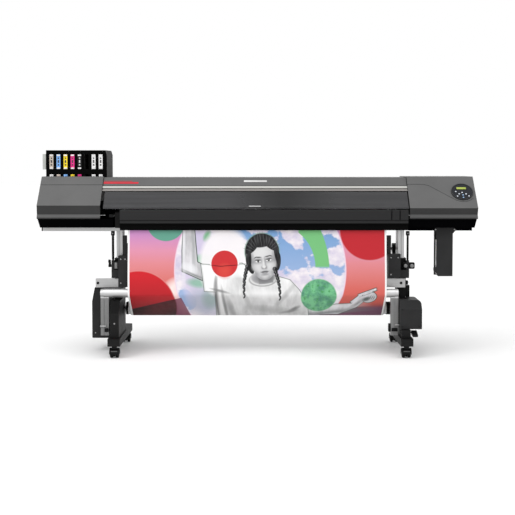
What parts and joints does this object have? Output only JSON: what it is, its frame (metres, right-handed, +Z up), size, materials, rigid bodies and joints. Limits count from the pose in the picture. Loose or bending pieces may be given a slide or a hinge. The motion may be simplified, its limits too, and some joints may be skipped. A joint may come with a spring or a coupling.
{
  "type": "printer cutter",
  "caption": "Wide-format roll-to-roll printer cutter on a castered stand, with ink tower, sloped key panel, waste bottle and take-up unit with a swinging tension tube",
  "frame": {"origin": "On the floor under the middle of the machine", "axes": "+X across the machine to the right as seen from the front, -Y towards the operator in front, +Z up"},
  "size_m": [2.768, 0.71, 1.291],
  "materials": {
    "base_black": "satin powder coat",
    "side_cover_grey": "fine moulded texture",
    "trim_silver": "brushed extrusion",
    "tinted_cover": "smoked gloss",
    "panel_dark": "satin powder coat",
    "bed_metal": "bead blasted",
    "rail_metal": "anodised",
    "carriage_dark": "moulded",
    "roller_metal": "knurled",
    "lever_black": "moulded",
    "bezel_gloss": "semi gloss",
    "key_light": "soft",
    "tower_black": "satin powder coat",
    "cartridge_cream": "moulded",
    "cartridge_light_blue": "moulded",
    "cartridge_yellow": "moulded",
    "cartridge_magenta": "moulded",
    "cartridge_black": "moulded",
    "cartridge_white": "moulded",
    "bottle_translucent": "translucent",
    "stand_silver": "anodised",
    "stand_black": "satin powder coat",
    "caster_black": "moulded",
    "cover_dark": "moulded",
    "tube_silver": "polished",
    "roll_white": "matt",
    "media_print": "printed"
  },
  "bodies": {
    "base": {"base_frame": "base_black", "left_base_rail": "trim_silver", "left_side_cover": "side_cover_grey", "right_side_cover": "side_cover_grey", "top_cover": "side_cover_grey", "trim_rail": "trim_silver", "front_panel": "panel_dark", "platen": "bed_metal", "guide_rail": "rail_metal", "panel_bezel": "bezel_gloss", "power_inlet": "lever_black", "ink_tower": "tower_black", "side_cartridge": "cartridge_white", "drain_bottle_holder": "panel_dark", "left_column": "stand_silver", "right_column": "stand_silver", "left_leg": "stand_black", "right_leg": "stand_black", "cross_bar": "stand_silver", "left_arm_box": "cover_dark", "right_arm_box": "cover_dark", "left_take_up_cover": "cover_dark", "right_motor_cover": "cover_dark", "printed_media": "media_print"},
    "front_cover": {"front_cover": "tinted_cover"},
    "print_carriage": {"print_carriage": "carriage_dark"},
    "cutter_carriage": {"cutter_carriage": "carriage_dark"},
    "grit_roller": {"grit_roller": "roller_metal"},
    "pinch_roller_unit": {"pinch_roller_unit": "carriage_dark"},
    "loading_lever": {"loading_lever": "lever_black"},
    "button_1": {"button_1": "key_light"},
    "button_2": {"button_2": "key_light"},
    "button_3": {"button_3": "key_light"},
    "button_4": {"button_4": "key_light"},
    "button_5": {"button_5": "key_light"},
    "button_6": {"button_6": "key_light"},
    "button_7": {"button_7": "key_light"},
    "button_8": {"button_8": "key_light"},
    "power_switch": {"power_switch": "lever_black"},
    "cartridge_cream": {"cartridge_cream": "cartridge_cream"},
    "cartridge_light_blue": {"cartridge_light_blue": "cartridge_light_blue"},
    "cartridge_yellow": {"cartridge_yellow": "cartridge_yellow"},
    "cartridge_magenta": {"cartridge_magenta": "cartridge_magenta"},
    "cartridge_black": {"cartridge_black": "cartridge_black"},
    "cartridge_white_a": {"cartridge_white_a": "cartridge_white"},
    "cartridge_white_b": {"cartridge_white_b": "cartridge_white"},
    "drain_bottle": {"drain_bottle": "bottle_translucent"},
    "front_left_caster_fork": {"front_left_caster_fork": "caster_black"},
    "front_left_caster_wheels": {"front_left_caster_wheels": "caster_black"},
    "rear_left_caster_fork": {"rear_left_caster_fork": "caster_black"},
    "rear_left_caster_wheels": {"rear_left_caster_wheels": "caster_black"},
    "front_right_caster_fork": {"front_right_caster_fork": "caster_black"},
    "front_right_caster_wheels": {"front_right_caster_wheels": "caster_black"},
    "rear_right_caster_fork": {"rear_right_caster_fork": "caster_black"},
    "rear_right_caster_wheels": {"rear_right_caster_wheels": "caster_black"},
    "dancer": {"dancer_frame": "tube_silver"},
    "take_up_core": {"take_up_core": "roll_white"},
    "supply_roll": {"supply_roll": "roll_white"},
    "lock_lever": {"lock_lever": "lever_black"},
    "foot_pedal": {"foot_pedal": "lever_black"}
  },
  "joints": [
    {"name": "front_cover_hinge", "type": "hinge", "parent": "base", "child": "front_cover", "pos_m": [0, -0.102, 1.0265], "axis": [-1, 0, 0], "range_deg": [0, 80]},
    {"name": "print_carriage_slide", "type": "slide", "parent": "base", "child": "print_carriage", "axis": [1, 0, 0], "range_m": [-2.2, 0]},
    {"name": "cutter_carriage_slide", "type": "slide", "parent": "base", "child": "cutter_carriage", "axis": [1, 0, 0], "range_m": [-2.2, 0]},
    {"name": "grit_roller_spin", "type": "hinge", "parent": "base", "child": "grit_roller", "pos_m": [0, 0.04, 0.9016], "axis": [1, 0, 0], "continuous": true},
    {"name": "pinch_rollers_lift", "type": "slide", "parent": "base", "child": "pinch_roller_unit", "axis": [0, 0, 1], "range_m": [0, 0.00798]},
    {"name": "loading_lever_turn", "type": "hinge", "parent": "base", "child": "loading_lever", "pos_m": [-0.908, -0.085, 0.881], "axis": [-1, 0, 0], "range_deg": [0, 22]},
    {"name": "button_1_press", "type": "slide", "parent": "base", "child": "button_1", "axis": [0, 0.7071, -0.7071], "range_m": [0, 0.0012], "stiffness_N_per_m": 300},
    {"name": "button_2_press", "type": "slide", "parent": "base", "child": "button_2", "axis": [0, 0.7071, -0.7071], "range_m": [0, 0.0012], "stiffness_N_per_m": 300},
    {"name": "button_3_press", "type": "slide", "parent": "base", "child": "button_3", "axis": [0, 0.7071, -0.7071], "range_m": [0, 0.0012], "stiffness_N_per_m": 300},
    {"name": "button_4_press", "type": "slide", "parent": "base", "child": "button_4", "axis": [0, 0.7071, -0.7071], "range_m": [0, 0.0012], "stiffness_N_per_m": 300},
    {"name": "button_5_press", "type": "slide", "parent": "base", "child": "button_5", "axis": [0, 0.7071, -0.7071], "range_m": [0, 0.0012], "stiffness_N_per_m": 300},
    {"name": "button_6_press", "type": "slide", "parent": "base", "child": "button_6", "axis": [0, 0.7071, -0.7071], "range_m": [0, 0.0012], "stiffness_N_per_m": 300},
    {"name": "button_7_press", "type": "slide", "parent": "base", "child": "button_7", "axis": [0, 0.7071, -0.7071], "range_m": [0, 0.0012], "stiffness_N_per_m": 300},
    {"name": "button_8_press", "type": "slide", "parent": "base", "child": "button_8", "axis": [0, 0.7071, -0.7071], "range_m": [0, 0.0012], "stiffness_N_per_m": 300},
    {"name": "power_switch_rock", "type": "hinge", "parent": "base", "child": "power_switch", "pos_m": [1.188, 0.334, 0.834], "axis": [1, 0, 0], "range_deg": [0, 12]},
    {"name": "cartridge_cream_slide", "type": "slide", "parent": "base", "child": "cartridge_cream", "axis": [0, -1, 0], "range_m": [0, 0.27]},
    {"name": "cartridge_light_blue_slide", "type": "slide", "parent": "base", "child": "cartridge_light_blue", "axis": [0, -1, 0], "range_m": [0, 0.27]},
    {"name": "cartridge_yellow_slide", "type": "slide", "parent": "base", "child": "cartridge_yellow", "axis": [0, -1, 0], "range_m": [0, 0.27]},
    {"name": "cartridge_magenta_slide", "type": "slide", "parent": "base", "child": "cartridge_magenta", "axis": [0, -1, 0], "range_m": [0, 0.27]},
    {"name": "cartridge_black_slide", "type": "slide", "parent": "base", "child": "cartridge_black", "axis": [0, -1, 0], "range_m": [0, 0.27]},
    {"name": "cartridge_white_a_slide", "type": "slide", "parent": "base", "child": "cartridge_white_a", "axis": [0, -1, 0], "range_m": [0, 0.27]},
    {"name": "cartridge_white_b_slide", "type": "slide", "parent": "base", "child": "cartridge_white_b", "axis": [0, -1, 0], "range_m": [0, 0.27]},
    {"name": "drain_bottle_slide", "type": "slide", "parent": "base", "child": "drain_bottle", "axis": [-1, 0, 0], "range_m": [0, 0.11]},
    {"name": "front_left_swivel", "type": "hinge", "parent": "base", "child": "front_left_caster_fork", "pos_m": [-0.8865, -0.318, 0.06], "axis": [0, 0, 1], "continuous": true},
    {"name": "front_left_wheel_spin", "type": "hinge", "parent": "front_left_caster_fork", "child": "front_left_caster_wheels", "pos_m": [-0.8865, -0.306, 0.0275], "axis": [1, 0, 0], "continuous": true},
    {"name": "rear_left_swivel", "type": "hinge", "parent": "base", "child": "rear_left_caster_fork", "pos_m": [-0.8865, 0.3095, 0.06], "axis": [0, 0, 1], "continuous": true},
    {"name": "rear_left_wheel_spin", "type": "hinge", "parent": "rear_left_caster_fork", "child": "rear_left_caster_wheels", "pos_m": [-0.8865, 0.3215, 0.0275], "axis": [1, 0, 0], "continuous": true},
    {"name": "front_right_swivel", "type": "hinge", "parent": "base", "child": "front_right_caster_fork", "pos_m": [0.9265, -0.318, 0.06], "axis": [0, 0, 1], "continuous": true},
    {"name": "front_right_wheel_spin", "type": "hinge", "parent": "front_right_caster_fork", "child": "front_right_caster_wheels", "pos_m": [0.9265, -0.306, 0.0275], "axis": [1, 0, 0], "continuous": true},
    {"name": "rear_right_swivel", "type": "hinge", "parent": "base", "child": "rear_right_caster_fork", "pos_m": [0.9265, 0.3095, 0.06], "axis": [0, 0, 1], "continuous": true},
    {"name": "rear_right_wheel_spin", "type": "hinge", "parent": "rear_right_caster_fork", "child": "rear_right_caster_wheels", "pos_m": [0.9265, 0.3215, 0.0275], "axis": [1, 0, 0], "continuous": true},
    {"name": "dancer_swing", "type": "hinge", "parent": "base", "child": "dancer", "pos_m": [0, -0.17, 0.186], "axis": [-1, 0, 0], "range_deg": [0, 20]},
    {"name": "take_up_spin", "type": "hinge", "parent": "base", "child": "take_up_core", "pos_m": [0, 0.01, 0.27], "axis": [1, 0, 0], "continuous": true},
    {"name": "supply_roll_spin", "type": "hinge", "parent": "base", "child": "supply_roll", "pos_m": [0, 0.235, 0.64], "axis": [1, 0, 0], "continuous": true},
    {"name": "lock_lever_turn", "type": "hinge", "parent": "base", "child": "lock_lever", "pos_m": [-0.939, -0.1, 0.555], "axis": [1, 0, 0], "range_deg": [-50, 0]},
    {"name": "foot_pedal_turn", "type": "hinge", "parent": "base", "child": "foot_pedal", "pos_m": [0.984, -0.229, 0.147], "axis": [-1, 0, 0], "range_deg": [0, 15]}
  ],
  "couplings": [
    {"joint": "cutter_carriage_slide", "follows": "print_carriage_slide", "ratio": 1},
    {"joint": "loading_lever_turn", "follows": "pinch_rollers_lift", "rad_per_m": 48}
  ]
}
